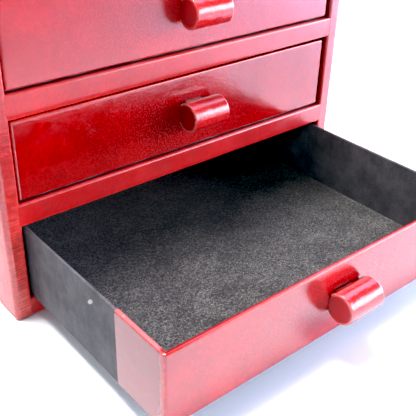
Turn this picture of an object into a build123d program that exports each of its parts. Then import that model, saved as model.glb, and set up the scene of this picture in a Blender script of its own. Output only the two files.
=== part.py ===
from build123d import *
import os

# A small wooden chest of three drawers, covered in glazed leather.
# Millimetres. The origin is under the middle of the case, on the surface that it stands on.
# +X is to the right of someone who faces the drawers, -Y is the way they open, +Z is up.

# Case
case_width = 240.0
case_depth = 198.0
side_board_thickness = 8.0
shelf_board_thickness = 10.0
back_board_thickness = 6.0
shelf_housing_depth = 2.5
back_rebate_width = 4.0
board_edge_radius = 0.7

# Coverings of the case
leather = 0.8
opening_turn_in = 14.0
top_lip = 2.0
felt_proud = 0.4
felt_gap = 0.5

# Drawers
drawer_height = 44.1
drawer_wall = 1.8
drawer_front = 1.6
drawer_leather = 0.5
drawer_floor = 3.5
drawer_felt = 1.5
drawer_recess = 2.1
drawer_edge_radius = 0.6
side_gap = 1.2
running_gap = 0.3
head_gap = 2.8
stop_gap = 0.4
front_lift = 0.4
front_rebate_depth = 0.8
wall_housing_depth = 0.8
leather_wrap = 37.0
drawer_turn_in = 6.0
pad_gap = 0.4
open_reach = 120.0

# Pulls
pull_length = 24.4
pull_radius = 8.6
pull_leather = 1.1
pull_flat_depth = 0.3
pull_rim_radius = 0.4
pull_offset = 4.2
disc_recess = 0.6
screw_shank_radius = 1.5
screw_head_radius = 2.9
screw_head_height = 1.8
screw_bite = 9.5
screw_point = 3.0
screw_clearance = 0.2
thread_clearance = 0.05
head_shoulder_share = 0.8

# How far a cutting block runs past what it cuts
overrun = 5.0

# Levels and planes that the pieces share
drawer_names = ("bottom", "middle", "top")
rail_height = shelf_board_thickness + 2 * leather
bay_height = running_gap + drawer_height + head_gap
bay_pitch = bay_height + rail_height
case_height = felt_proud + len(drawer_names) * bay_pitch + rail_height
bay_floors = [felt_proud + rail_height + n * bay_pitch for n in range(len(drawer_names))]
shelf_levels = [felt_proud + leather + n * bay_pitch for n in range(len(drawer_names) + 1)]
board_bottom = felt_proud + leather
board_top = case_height - leather
lip_level = case_height - top_lip

front_y = -case_depth / 2
board_front = front_y + leather
board_back = case_depth / 2 - leather
back_inner = board_back - back_board_thickness
turn_in_end = board_front + opening_turn_in

board_x = case_width / 2 - leather
inner_x = board_x - side_board_thickness
opening_x = inner_x - leather

wall_outer_x = opening_x - side_gap - drawer_leather
wall_inner_x = wall_outer_x - drawer_wall
closed_face_y = front_y + drawer_recess
drawer_length = back_inner - stop_gap - closed_face_y
pull_axis_out = pull_radius - pull_leather - pull_flat_depth
core_length = pull_length - 2 * (disc_recess + pull_leather)

far = case_width + case_depth + case_height


def block(x, y, z):
    """A box between a pair of limits along each axis."""
    lows = [min(limits) for limits in (x, y, z)]
    sizes = [max(limits) - min(limits) for limits in (x, y, z)]
    return Pos(*lows) * Box(*sizes, align=(Align.MIN, Align.MIN, Align.MIN))


def both_ways(half):
    """Limits of something centred across the case."""
    return (-half, half)


def case_block(grow):
    """The glued-up case as one block with eased edges, grown by the leather where it is covered."""
    solid = block(
        both_ways(board_x + grow),
        (board_front - grow, board_back + grow),
        (board_bottom - grow, board_top + grow),
    )
    return fillet(solid.edges(), board_edge_radius + grow)


def side_block(side, grow):
    """One side of the case; its edge along the drawer openings is eased like the outer ones."""
    slab = block((side * (inner_x - grow), side * far), (board_front - grow, far), (-far, far))
    front_edges = slab.edges().filter_by(Axis.Z).group_by(Axis.Y)[0]
    opening_edge = min(front_edges, key=lambda edge: abs(edge.center().X))
    return case_block(grow) & fillet(opening_edge, board_edge_radius + grow)


def shelf_block(level, half_width, back, grow):
    """A horizontal board that starts at this level, with both its front edges eased."""
    solid = block(
        both_ways(half_width),
        (board_front - grow, back),
        (level - grow, level + shelf_board_thickness + grow),
    )
    front_edges = solid.edges().filter_by(Axis.X).group_by(Axis.Y)[0]
    return fillet(front_edges, board_edge_radius + grow)


def side_board(side):
    """A side, housed for the ends of the horizontal boards and rebated for the back."""
    board = side_block(side, 0)
    housing_x = (side * inner_x + side * shelf_housing_depth, 0)
    for level in shelf_levels:
        board -= block(housing_x, (-far, back_inner), (level, level + shelf_board_thickness))
    rebate_x = (side * inner_x + side * back_rebate_width, 0)
    return board - block(rebate_x, (back_inner, far), (-far, far))


def shelf_board(level):
    """The top, the base or a shelf, let into both sides and running back to the back board."""
    board = shelf_block(level, inner_x + shelf_housing_depth, back_inner, 0)
    return board & case_block(0)


def back_board():
    """The back, in the rebates of the sides."""
    return case_block(0) & block(both_ways(inner_x + back_rebate_width), (back_inner, far), (-far, far))


def side_leather(side):
    """The cover of one side: over the outside, under the foot, round both upright edges, and turned
    into each drawer opening, where it is slit at the ends of the horizontal boards."""
    skin = side_block(side, leather) - side_block(side, 0)
    skin -= block((-far, far), (-far, far), (lip_level, far))
    inside_x = (side * inner_x, 0)
    skin -= block(inside_x, (turn_in_end, far), (-far, far))
    for level in shelf_levels:
        skin -= shelf_block(level, inner_x + shelf_housing_depth, back_inner, 0)
    return skin


def rail_leather(level):
    """The strip round the front edge of a horizontal board, turned in above and below it."""
    strip = shelf_block(level, opening_x, turn_in_end, leather) - shelf_block(level, far, far, 0)
    return strip - block((-far, far), (-far, far), (lip_level, far))


def top_leather():
    """The cover of the top, turned over its edges as a narrow lip."""
    skin = case_block(leather) - case_block(0)
    return skin & block((-far, far), (-far, far), (lip_level, far))


def back_leather():
    """The cover of the back, turned under its foot and butted to the covers of the sides."""
    skin = case_block(leather) - case_block(0)
    return skin & block(both_ways(inner_x), (back_inner, far), (-far, lip_level))


def bay_lining(floor):
    """The card on the floor of a bay, level with the leather in front of it."""
    return block(both_ways(inner_x), (turn_in_end, back_inner), (floor - leather, floor))


def base_felt():
    """The sheet under the base, a little proud of the leather, on which the chest stands."""
    return block(
        both_ways(inner_x - felt_gap),
        (turn_in_end + felt_gap, back_inner - felt_gap),
        (0, board_bottom),
    )


class DrawerPlaces:
    """Levels and planes of one drawer, from the floor of its bay and the face of its leather."""

    def __init__(self, bay_floor, face_y):
        self.face = face_y
        self.front = face_y + drawer_leather
        self.front_back = self.front + drawer_front
        self.rear = face_y + drawer_length
        self.rear_inner = self.rear - drawer_wall
        self.wrap_end = face_y + leather_wrap
        self.bottom = bay_floor + running_gap
        self.floor_top = self.bottom + drawer_floor
        self.front_bottom = self.bottom + front_lift + drawer_leather
        self.wall_top = self.bottom + drawer_height - drawer_leather
        self.pull_z = (self.bottom + front_lift + self.bottom + drawer_height) / 2


def tray(places, grow):
    """Front and walls of a drawer as one ring, rounded along the rim and the front, grown by the leather."""
    radius = drawer_edge_radius + grow
    ring = block(
        both_ways(wall_outer_x + grow),
        (places.front - grow, places.rear + grow),
        (places.front_bottom - grow, places.wall_top + grow),
    )
    front_corners = ring.edges().filter_by(Axis.Z).group_by(Axis.Y)[0]
    foot = ring.edges().filter_by(Axis.X).group_by(Axis.Y)[0].sort_by(Axis.Z)[0]
    ring = fillet(list(front_corners) + [foot], radius)
    ring -= block(
        both_ways(wall_inner_x - grow),
        (places.front_back + grow, places.rear_inner - grow),
        (-far, far),
    )
    return fillet(ring.faces().sort_by(Axis.Z)[-1].edges(), radius)


def left_and_right_walls(places):
    """Side walls of a drawer: in the rebates of the front, housing the back, standing on the floor."""
    wooden = tray(places, 0)
    start = places.front_back - front_rebate_depth
    for side in (-1, 1):
        wall = wooden & block((side * wall_inner_x, side * far), (start, far), (places.floor_top, far))
        housing_x = (side * wall_inner_x + side * wall_housing_depth, 0)
        wall -= block(housing_x, (places.rear_inner, far), (-far, far))
        yield wall


def drawer_back(places):
    """Back wall of a drawer, let into the ends of the side walls."""
    limits = both_ways(wall_inner_x + wall_housing_depth)
    return tray(places, 0) & block(limits, (places.rear_inner, far), (places.floor_top, far))


def drawer_front_board(places):
    """Front of a drawer, rebated at its ends for the side walls and drilled for the pull's screw."""
    board = tray(places, 0) & block((-far, far), (-far, places.front_back), (-far, far))
    rebate_y = (places.front_back - front_rebate_depth, far)
    for side in (-1, 1):
        board -= block((side * wall_inner_x, side * far), rebate_y, (places.floor_top, far))
    return board - screw_hole(places)


def drawer_floor_board(places):
    """Floor of a drawer, under its walls and behind its front."""
    return block(both_ways(wall_outer_x), (places.front_back, places.rear), (places.bottom, places.floor_top))


def drawer_floor_felt(places):
    """The felt that lines the floor of a drawer."""
    return block(
        both_ways(wall_inner_x - pad_gap),
        (places.front_back + drawer_leather + pad_gap, places.rear_inner - pad_gap),
        (places.floor_top, places.floor_top + drawer_felt),
    )


def drawer_front_leather(places):
    """The cover of a drawer's front: under its foot, back along the sides, and over the rim."""
    skin = tray(places, drawer_leather) - tray(places, 0)
    skin -= block((-far, far), (places.wrap_end, far), (-far, far))
    skin -= block(both_ways(wall_outer_x), (places.front_back, far), (-far, places.floor_top))
    skin -= block(both_ways(wall_inner_x), (places.front_back, far), (-far, places.wall_top - drawer_turn_in))
    return skin - screw_hole(places)


def screw_hole(places):
    """The clearance hole of the pull's screw through the front and its leather."""
    hole = Cylinder(screw_shank_radius + screw_clearance, drawer_front + drawer_leather + 2 * overrun)
    return Pos(pull_offset, (places.face + places.front_back) / 2, places.pull_z) * Rot(90, 0, 0) * hole


def pull_section(places, outer, inner, length):
    """A bar of D section a little to the right on the drawer's front, flat where it meets the leather."""
    axis_y = places.face - pull_axis_out
    ring = Cylinder(outer, length)
    if inner:
        ring -= Cylinder(inner, length + overrun)
    bar = Pos(pull_offset, axis_y, places.pull_z) * Rot(0, 90, 0) * ring
    return bar & block((-far, far), (-far, places.face), (-far, far))


def pull_core(places):
    """The wooden bar of a pull, with a pilot hole for its screw."""
    bar = pull_section(places, pull_radius - pull_leather, 0, core_length)
    return bar - pull_screw(places, thread_clearance)


def pull_wrap(places):
    """The leather round a pull, with its cut ends standing proud of the end discs."""
    wrap = pull_section(places, pull_radius, pull_radius - pull_leather, pull_length)
    outer_rims = [e for e in wrap.edges().filter_by(GeomType.CIRCLE) if e.radius > pull_radius - pull_leather / 2]
    return fillet(outer_rims, pull_rim_radius)


def pull_end_discs(places):
    """The leather disc in each end of a pull, set back inside the wrap."""
    bar = pull_section(places, pull_radius - pull_leather, 0, pull_length - 2 * disc_recess)
    return bar - pull_section(places, pull_radius, 0, core_length)


def pull_screw(places, grow):
    """The round-headed screw of a pull, driven from inside the drawer; grown, it is its own pilot hole."""
    shank = screw_shank_radius + grow
    reach = drawer_front + drawer_leather + screw_bite
    with BuildPart() as screw:
        with BuildSketch(Plane.XZ):
            with BuildLine():
                head = ThreePointArc(
                    (0, screw_head_height),
                    (screw_head_radius / 2, screw_head_height * head_shoulder_share),
                    (screw_head_radius, 0),
                )
                Polyline(
                    head @ 1,
                    (shank, 0),
                    (shank, screw_point - reach),
                    (0, -reach - grow),
                    head @ 0,
                )
            make_face()
        revolve(axis=Axis.Z)
    return Pos(pull_offset, places.front_back, places.pull_z) * Rot(-90, 0, 0) * screw.part


def drawer_pieces(name, bay_floor, face_y):
    """Every piece of one drawer, by node name."""
    places = DrawerPlaces(bay_floor, face_y)
    left_wall, right_wall = left_and_right_walls(places)
    pieces = {
        "front_board": drawer_front_board(places),
        "left_wall": left_wall,
        "right_wall": right_wall,
        "back_wall": drawer_back(places),
        "floor_board": drawer_floor_board(places),
        "floor_felt": drawer_floor_felt(places),
        "front_leather": drawer_front_leather(places),
        "pull_core": pull_core(places),
        "pull_leather": pull_wrap(places),
        "pull_end_discs": pull_end_discs(places),
        "pull_screw": pull_screw(places, 0),
    }
    return {f"{name}_drawer_{piece}": solid for piece, solid in pieces.items()}


def case_pieces():
    """Every piece of the case, by node name."""
    shelf_names = ("base", "lower_shelf", "upper_shelf", "top")
    rail_names = ("base", "lower", "upper", "top")
    pieces = {
        "left_side_board": side_board(-1),
        "right_side_board": side_board(1),
        "back_board": back_board(),
        "left_side_leather": side_leather(-1),
        "right_side_leather": side_leather(1),
        "top_leather": top_leather(),
        "back_leather": back_leather(),
        "base_felt": base_felt(),
    }
    for level, shelf, rail in zip(shelf_levels, shelf_names, rail_names):
        pieces[f"{shelf}_board"] = shelf_board(level)
        pieces[f"{rail}_rail_leather"] = rail_leather(level)
    for floor, name in zip(bay_floors, drawer_names):
        pieces[f"{name}_bay_lining"] = bay_lining(floor)
    return pieces


def chest():
    """The whole chest, with its bottom drawer pulled out and the others shut."""
    pieces = case_pieces()
    for floor, name in zip(bay_floors, drawer_names):
        face = front_y - open_reach if name == "bottom" else closed_face_y
        pieces |= drawer_pieces(name, floor, face)
    return pieces


os.makedirs("parts", exist_ok=True)
for node, solid in chest().items():
    export_step(solid, f"parts/{node}.step")
    print(f"{node}: {solid.volume:.1f} cubic mm, {len(solid.solids())} solid(s)")
print(f"case {case_width:.1f} x {case_depth:.1f} x {case_height:.1f} mm, drawers {drawer_length:.1f} mm long")
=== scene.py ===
# %% [markdown]
# # A jewellery chest covered in red glazed leather
# The chest is a small wooden case with three drawers. It is covered the way a bookbinder covers a board:
# thin leather is glued round every edge and folded in. The boards, screws and drawer walls come from the
# CAD frame and keep their exact place, so here they only get their finishes. Every soft skin, leather or
# felt, is made anew as a thin sheet with a front, a back and a cut edge, because soft folds are what the
# eye reads as leather.

# %% Load the frame and keep its box
import math

import bpy
import numpy as np
from mathutils import Matrix, Vector


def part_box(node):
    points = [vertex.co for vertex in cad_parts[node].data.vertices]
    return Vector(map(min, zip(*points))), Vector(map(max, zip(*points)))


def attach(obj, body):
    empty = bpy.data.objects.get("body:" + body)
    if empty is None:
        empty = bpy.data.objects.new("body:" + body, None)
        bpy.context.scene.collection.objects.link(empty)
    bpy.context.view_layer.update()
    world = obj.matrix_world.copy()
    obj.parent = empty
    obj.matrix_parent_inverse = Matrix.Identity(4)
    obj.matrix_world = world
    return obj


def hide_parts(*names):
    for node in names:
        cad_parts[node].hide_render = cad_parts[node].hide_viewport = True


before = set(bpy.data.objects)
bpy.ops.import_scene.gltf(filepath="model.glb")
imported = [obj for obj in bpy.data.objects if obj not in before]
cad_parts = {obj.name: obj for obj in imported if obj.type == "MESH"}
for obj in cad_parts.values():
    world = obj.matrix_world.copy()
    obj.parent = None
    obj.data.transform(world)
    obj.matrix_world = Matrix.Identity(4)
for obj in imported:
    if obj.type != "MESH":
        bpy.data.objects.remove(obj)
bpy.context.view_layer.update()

mm = 0.001

# %% [markdown]
# ## Measuring the frame
# Every skin takes its size from the CAD node that it stands for, so the skins fit without trying. A
# node's box gives its lowest and highest corner. The thickness of the leather is the step from the box of
# a cover to the box of its board. Only the radius of a fold is chosen here, because leather folds softer
# than a board's edge.

# %% Read sizes from the frame
def box(node):
    """Lowest and highest corner of a CAD node, as two arrays in metres."""
    low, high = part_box(node)
    return np.array(low), np.array(high)


drawers = ("top", "middle", "bottom")
case_low = np.minimum(box("left_side_leather")[0], box("base_rail_leather")[0])
case_high = np.maximum(box("right_side_leather")[1], box("top_leather")[1])
leather = box("left_side_board")[0][0] - case_low[0]
drawer_leather = box("top_drawer_front_board")[0][1] - box("top_drawer_front_leather")[0][1]
fold = 1.5 * mm
print("case", np.round((case_high - case_low) / mm, 1), "mm")
print("leather", np.round(np.array([leather, drawer_leather]) / mm, 2), "mm on the case and on the drawers")

# %% [markdown]
# ## The camera
# A long lens stands to the left of the chest and looks down on it. A camera in Blender looks along its
# own -Z, so its matrix has the right, up and backward directions as columns. An Euler rotation could hold
# the same turn, but three plain angles are easier to read and to change: how far round the chest the
# camera stands, how high, and how much it is rolled.

# %% Camera
lens_mm, sensor_mm = 61.41, 36
nearest_seen = 10 * mm
camera_place = np.array([-236.2, -392.2, 255.5]) * mm
azimuth, elevation, roll = np.radians([-40.46, 30.98, 1.68])

backward = np.array(
    [np.sin(azimuth) * np.cos(elevation), -np.cos(azimuth) * np.cos(elevation), np.sin(elevation)]
)
right = np.cross(-backward, [0, 0, 1])
right /= np.linalg.norm(right)
up = np.cross(right, -backward)
columns = [
    np.cos(roll) * right + np.sin(roll) * up,
    np.cos(roll) * up - np.sin(roll) * right,
    backward,
]
camera_data = bpy.data.cameras.new("camera")
camera_data.sensor_width = sensor_mm
camera_data.sensor_fit = "HORIZONTAL"
camera_data.lens = lens_mm
camera_data.clip_start = nearest_seen
camera = bpy.data.objects.new("camera", camera_data)
placed = np.eye(4)
placed[:3, :3] = np.stack(columns, axis=1)
placed[:3, 3] = camera_place
camera.matrix_world = Matrix(placed.tolist())
bpy.context.scene.collection.objects.link(camera)
bpy.context.scene.camera = camera
print("camera at", camera_place.tolist(), "lens", lens_mm)

# %% [markdown]
# ## Shader maths that reads like maths
# A material is a graph of nodes. It could be wired node by node, but that is slow to read, so one small
# class wraps an output socket, and +, -, * and ** on it add the Math nodes. Its `node` method adds any
# other node: the settings first, then the sockets, each a value or another wire.

# %% The wire class
class Wire:
    """An output socket in a material that does arithmetic by adding Math nodes."""

    def __init__(self, tree, socket=None):
        self.tree = tree
        self.socket = socket

    def node(self, kind, settings=None, inputs=None, output=0):
        """Adds a node: its settings are set first, then its sockets get values or links."""
        made = self.tree.nodes.new("ShaderNode" + kind)
        for name, value in (settings or {}).items():
            if name == "stops":
                while len(made.color_ramp.elements) < len(value):
                    made.color_ramp.elements.new(1.0)
                for element, (position, tint) in zip(made.color_ramp.elements, value):
                    element.position = position
                    element.color = (*tint, 1.0)
            else:
                setattr(made, name, value)
        for name, value in (inputs or {}).items():
            if isinstance(value, Wire):
                self.tree.links.new(value.socket, made.inputs[name])
            else:
                made.inputs[name].default_value = value
        return Wire(self.tree, made.outputs[output])

    def math(self, operation, first, second=0.0):
        """A Math node on one or two values or wires."""
        return self.node("Math", {"operation": operation}, {0: first, 1: second})

    def __add__(self, other):
        return self.math("ADD", self, other)

    def __sub__(self, other):
        return self.math("SUBTRACT", self, other)

    def __rsub__(self, other):
        return self.math("SUBTRACT", other, self)

    def __mul__(self, other):
        return self.math("MULTIPLY", self, other)

    def __pow__(self, other):
        return self.math("POWER", self, other)

    __radd__ = __add__
    __rmul__ = __mul__

    def absolute(self):
        """The value without its sign."""
        return self.math("ABSOLUTE", self)

    def between(self, low, high):
        """0 below low, 1 above high, and a smooth step between."""
        return self.node(
            "MapRange",
            {"interpolation_type": "SMOOTHSTEP"},
            {"Value": self, "From Min": low, "From Max": high},
        )

    def mix(self, first, second):
        """The first colour where this wire is 0, the second where it is 1."""
        return self.node("Mix", {"data_type": "RGBA"}, {0: self, 6: first, 7: second}, output=2)


def colour(red, green, blue):
    """A colour for a socket, in linear light."""
    return (red, green, blue, 1.0)


print("a wire can", ", ".join(name for name in vars(Wire) if not name.startswith("_")))

# %% [markdown]
# ## Finishes from noise
# A finish is one principled shader. What is the same all over a surface is set on its sockets, and what
# varies is wired to them. The patterns are noise and random cells on Object coordinates: each piece lies
# at the origin with its place in its mesh, so the patterns run on from piece to piece at real size, and
# no picture is needed.

# %% Shader helpers
def socket_name(word):
    """The shader's socket for a keyword, such as Base Color for base_color."""
    return word.replace("_", " ").title().replace("Ior", "IOR")


def new_finish(name, **constants):
    """A material with its shader's constant sockets set, and the wire of its Object coordinates."""
    material = bpy.data.materials.new(name)
    material.use_nodes = True
    tree = material.node_tree
    shader = tree.nodes["Principled BSDF"]
    for socket, value in constants.items():
        shader.inputs[socket_name(socket)].default_value = value
    place = Wire(tree).node("TexCoord", output=3)
    return material, place


def wire_up(material, **wires):
    """Links wires to the principled shader's sockets."""
    tree = material.node_tree
    shader = tree.nodes["Principled BSDF"]
    for socket, wire in wires.items():
        tree.links.new(wire.socket, shader.inputs[socket_name(socket)])
    print("finish", material.name, "with", len(tree.nodes), "nodes")
    return material


def noise(place, size, detail=2.0, roughness=0.5, stretch=None):
    """Soft noise from 0 to 1 with blobs of about this size in metres; a stretch below 1 draws it out."""
    if stretch:
        place = place.node("Mapping", None, {"Vector": place, "Scale": stretch})
    return place.node(
        "TexNoise", None, {"Vector": place, "Scale": 1 / size, "Detail": detail, "Roughness": roughness}
    )


def cells(place, size, output=0):
    """Random cells of about this size: output 0 is the distance to a cell's middle, 1 its random colour."""
    return place.node("TexVoronoi", None, {"Vector": place, "Scale": 1 / size}, output=output)


def bump(place, height, depth):
    """A normal from a height wire that is worth this depth in metres."""
    return place.node("Bump", None, {"Height": height, "Distance": depth, "Strength": 1.0})


print("a keyword such as base_color is wired to", socket_name("base_color"))

# %% [markdown]
# ## Red glazed leather
# Glazed leather is dyed, then polished with a hot roller until it shines, so a clear gloss lies over a
# fine grain. The dye is uneven: clouds of deeper and paler red show, and thin paler veins. A picture of
# leather could be wrapped round each piece, but it could not follow how this leather was worked. Five
# marks on the points of a sheet can, each from 0 to 1. The first is the pale flesh side, so a cut edge runs
# from red to pale. The second is along folds and edges: partly dye rubbed off a little, partly a painted
# highlight. The third is painted shade, near black, where leather turns into a gap, a crease or a seam,
# and along the arms of the drawers. The fourth is where a strip was drawn tight round an edge and shows
# slanting lines. The fifth is on and around the pulls, where fingers have brought out the grain and its
# pale peaks are painted sparkle.
#
# One recipe makes all the leathers, which differ in their reds and their gloss. The fronts of the drawers
# are polished most. The top drawer's front is a lighter red, painted light for the stronger light on the
# upper front, and the rail strips use the same lighter reds. The strips on the rails and the covers of
# the sides are duller, so their lines and creases show. The top of the chest is dulled by use, the pulls
# are rubbed dull and a paler red, painted light for the lamp on their tops, and the discs in their ends
# are a dull crimson.

# %% Leather recipe
# The second mark is wear and painted highlight, the third painted shade. The rubbed red is bright on
# purpose: on folds, crease ridges and the low front edge of the sides it is painted highlight and painted
# light as well as wear. The pale grain colour is painted sparkle, the near-black grain colour is painted
# shade in pits, and the gap colour is painted shade.
marks = ("raw", "worn", "grime", "drawn", "handled")
vein_red, rubbed_and_lit_red = colour(0.58, 0.012, 0.014), colour(0.80, 0.060, 0.045)
sparkle_red, pit_shade_red = colour(0.76, 0.13, 0.15), colour(0.12, 0.0, 0.0)
flesh_side, gap_shade = colour(0.66, 0.61, 0.60), colour(0.006, 0.003, 0.003)
pull_angle = math.radians(-58)
relief = 0.03 * mm


def glazed_leather(name, deep, bright, polish, glaze):
    """Leather dyed between two reds; polish is the roughness of its face, glaze the weight of its coat.

    Dye: a cloudy noise, with flecks and, where drawn, slanting pull lines, runs from the deep red to the
    bright one. Veins are the thin lines where a noise passes its middle value. Folds and edges are paler,
    partly rubbed and partly a painted highlight, and gaps are painted near black as shade. Grain is fine
    noise whose peaks are painted pale as sparkle and whose pits are painted dark as shade, stronger where
    handled. The relief adds flecks, smudges, grain and lines.
    """
    material, place = new_finish(name, ior=1.8, coat_roughness=0.06, coat_ior=1.5)
    slanted = place.node(
        "Mapping",
        {"vector_type": "TEXTURE"},
        {"Vector": place, "Rotation": (0.0, pull_angle, 0.0), "Scale": (5.0, 1.0, 1.0)},
    )
    cloud = noise(place, 34 * mm, 4.0, 0.6)
    smudge = noise(place, 12 * mm, 4.0, 0.6).between(0.42, 0.66)
    fleck = noise(place, 2.6 * mm, 2.0)
    grain = noise(place, 1.0 * mm, 2.0, 0.6)
    vein = 1 - (noise(place, 16 * mm, 4.0, 0.6) - 0.5).absolute().between(0.0, 0.03)
    pull_line = noise(slanted, 0.8 * mm, 2.0, 0.6)
    raw, worn, grime, drawn, handled = (
        place.node("Attribute", {"attribute_name": mark}, output=2) for mark in marks
    )
    dyed = (cloud + 0.4 * fleck + 0.8 * drawn * (pull_line - 0.38)).between(0.55, 1.05).mix(deep, bright)
    veined = (0.2 * vein * (1 - grime) * fleck.between(0.3, 0.6)).mix(dyed, vein_red)
    # Folds and edges: partly rubbed dye, partly a painted highlight.
    rubbed_and_highlit = (0.55 * worn * (0.4 + 0.6 * fleck.between(0.3, 0.65))).mix(veined, rubbed_and_lit_red)
    # Painted sparkle on the grain's peaks and painted shade in its pits, stronger near the pulls.
    sparkle = (0.02 + 0.19 * handled) * grain.between(0.46, 0.68)
    pit_shade = (0.06 + 0.44 * handled) * grain.between(0.54, 0.34)
    grained = pit_shade.mix(sparkle.mix(rubbed_and_highlit, sparkle_red), pit_shade_red)
    tinted = raw.between(0.15, 0.85).mix(grained, flesh_side)
    height = fleck + 0.8 * smudge + (0.6 + 3.1 * handled) * grain + 0.8 * drawn * pull_line
    # The gap mark mixes in near-black painted shade.
    return wire_up(
        material,
        base_color=grime.mix(tinted, gap_shade),
        roughness=polish + 0.07 * smudge + 0.04 * fleck + 0.4 * raw + 0.4 * grime.between(0.4, 0.9),
        coat_weight=glaze - 0.8 * glaze * raw - 0.8 * glaze * grime,
        normal=bump(place, height, relief),
    )


print("marks on the leather:", ", ".join(marks))

# %% The leathers of this chest
deep_red, bright_red = colour(0.28, 0.0004, 0.0007), colour(0.42, 0.0015, 0.0020)
# The lighter reds of the top drawer's front are painted light, for the stronger light on the upper front;
# the rail strips use them too.
light_red, lightest_red = colour(0.35, 0.0006, 0.0010), colour(0.51, 0.0020, 0.0028)
deep_crimson, crimson = colour(0.30, 0.001, 0.0015), colour(0.42, 0.003, 0.004)
# The paler reds of the pulls are painted light, for the lamp on their tops.
pull_red, pale_red = colour(0.46, 0.002, 0.003), colour(0.62, 0.006, 0.007)
cover_leather = glazed_leather("glazed red leather", deep_red, bright_red, 0.06, 0.2)
pull_leather = glazed_leather("rubbed red leather", pull_red, pale_red, 0.17, 0.15)
light_leather = glazed_leather("light red leather", light_red, lightest_red, 0.06, 0.2)
rail_leather = glazed_leather("drawn red leather", light_red, lightest_red, 0.29, 0.1)
side_leather = glazed_leather("creased red leather", deep_red, bright_red, 0.27, 0.1)
top_leather = glazed_leather("dulled red leather", deep_red, bright_red, 0.5, 0.03)
disc_leather = glazed_leather("dull crimson leather", deep_crimson, crimson, 0.32, 0.1)

# %% [markdown]
# ## Dark paper
# The boards of the drawer boxes are pasted over with a matt dark paper. Handling has rubbed it in clouds,
# the paste brush has left upright marks, and there is dust on it and one pale oval fleck on the left wall
# of the bottom drawer. The fleck could be a small piece of its own, but it has no thickness, so it is
# part of the finish: the distance to its middle is worked out from Object coordinates, and paper is pale
# where it is small.

# %% Paper finish
fleck_place = (-108.7 * mm, -160.4 * mm, 47.3 * mm)
fleck_radius = 1.6 * mm
fleck_oval = ((1.0, 0.0, 0.0), (0.0, 0.76, 0.09), (0.0, 0.71, 1.13))
fleck_pale = colour(0.38, 0.38, 0.355)


def dark_paper():
    """Fibres, clouds and brush marks are noise, dust is a few random cells, and the fleck is an oval.

    Each row of fleck_oval, times the way from the fleck's middle, is one coordinate of the oval made round.
    """
    material, place = new_finish("dark paper", specular_ior_level=0.3)
    fibre = noise(place, 0.9 * mm, 3.0, 0.7)
    cloud = noise(place, 13 * mm, 4.0, 0.65)
    streak = noise(place, 4 * mm, 3.0, 0.6, (1.0, 1.0, 0.12))
    warmth = noise(place, 5 * mm, 3.0).between(0.4, 0.62)
    shade = (0.5 * cloud + 0.35 * fibre + 0.15 * streak).between(0.36, 0.64)
    light = warmth.mix(colour(0.094, 0.093, 0.101), colour(0.107, 0.096, 0.100))
    offset = place.node("VectorMath", {"operation": "SUBTRACT"}, {0: place, 1: fleck_place})
    depth, across, upward = (
        place.node("VectorMath", {"operation": "DOT_PRODUCT"}, {0: offset, 1: row}, output=1)
        for row in fleck_oval
    )
    away = (depth * depth + across * across + upward * upward) ** 0.5
    chosen = place.node("SeparateColor", None, {"Color": cells(place, 5 * mm, output=1)}, output=0)
    dust = 0.5 * chosen.between(0.8, 0.85) * cells(place, 5 * mm).between(0.09, 0.05)
    spot = away.between(1.15 * fleck_radius, 0.75 * fleck_radius) + dust
    return wire_up(
        material,
        base_color=spot.mix(shade.mix(colour(0.043, 0.041, 0.046), light), fleck_pale),
        roughness=0.55 + 0.2 * fibre,
        normal=bump(place, fibre + 0.4 * cloud, 0.12 * mm),
    )


paper = dark_paper()

# %% [markdown]
# ## Flecked felt
# The floors of the drawers are lined with a charcoal felt of reclaimed fibre, which is why pale, sandy
# and bluish flecks show in it. Real fibres would be a particle system of many thousand hairs. From a step
# away they read as flecks, so noise gives them at a fraction of the cost, and a little sheen gives the
# soft look of a nap.

# %% Felt finish
fibre_tints = (
    (0.0, (0.135, 0.134, 0.134)),
    (0.4, (0.155, 0.131, 0.113)),
    (0.7, (0.104, 0.116, 0.122)),
    (1.0, (0.168, 0.162, 0.156)),
)
bright_fibre = colour(0.36, 0.35, 0.32)


def flecked_felt():
    """Fine noise gives pale fibres on a dark ground, thicker in clouds, and random cells tint them."""
    nap = {"sheen_weight": 0.2, "sheen_roughness": 0.5}
    material, place = new_finish("flecked felt", specular_ior_level=0.2, **nap)
    cloud = noise(place, 16 * mm, 4.0, 0.6)
    fibre = noise(place, 0.62 * mm, 2.0, 0.6)
    clump = noise(place, 1.7 * mm, 2.0, 0.6)
    strand = 1 - (noise(place, 1.5 * mm, 1.0, 0.5) - 0.5).absolute().between(0.0, 0.1)
    tint = cells(place, 1.1 * mm, output=1)
    pick = place.node("SeparateColor", None, {"Color": tint}, output=0)
    pale = place.node("SeparateColor", None, {"Color": tint}, output=1)
    fibre_colour = pick.node("ValToRGB", {"stops": fibre_tints}, {"Fac": pick})
    shown = (0.6 * fibre + 0.17 * strand + 0.25 * clump + 0.3 * cloud).between(0.56, 0.86)
    bright = 0.8 * pale.between(0.94, 0.97) * cells(place, 1.1 * mm).between(0.36, 0.15)
    ground = clump.between(0.3, 0.7).mix(colour(0.011, 0.011, 0.012), colour(0.030, 0.028, 0.029))
    return wire_up(
        material,
        base_color=bright.mix(shown.mix(ground, fibre_colour), bright_fibre),
        roughness=0.85 + 0.1 * fibre,
        normal=bump(place, fibre + 0.5 * clump, 0.25 * mm),
    )


felt = flecked_felt()

# %% [markdown]
# ## Card, wood and steel
# These show only when a drawer is pulled out: black card on the floor of each bay, boards stained dark
# where no leather covers them, and the screws that hold the pulls. Wood grain runs along a board, so the
# noise of the boards that lie flat is drawn out along the width, and the noise of those that stand along
# the height.

# %% Card, wood and steel finishes
fine_relief = 0.05 * mm


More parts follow.
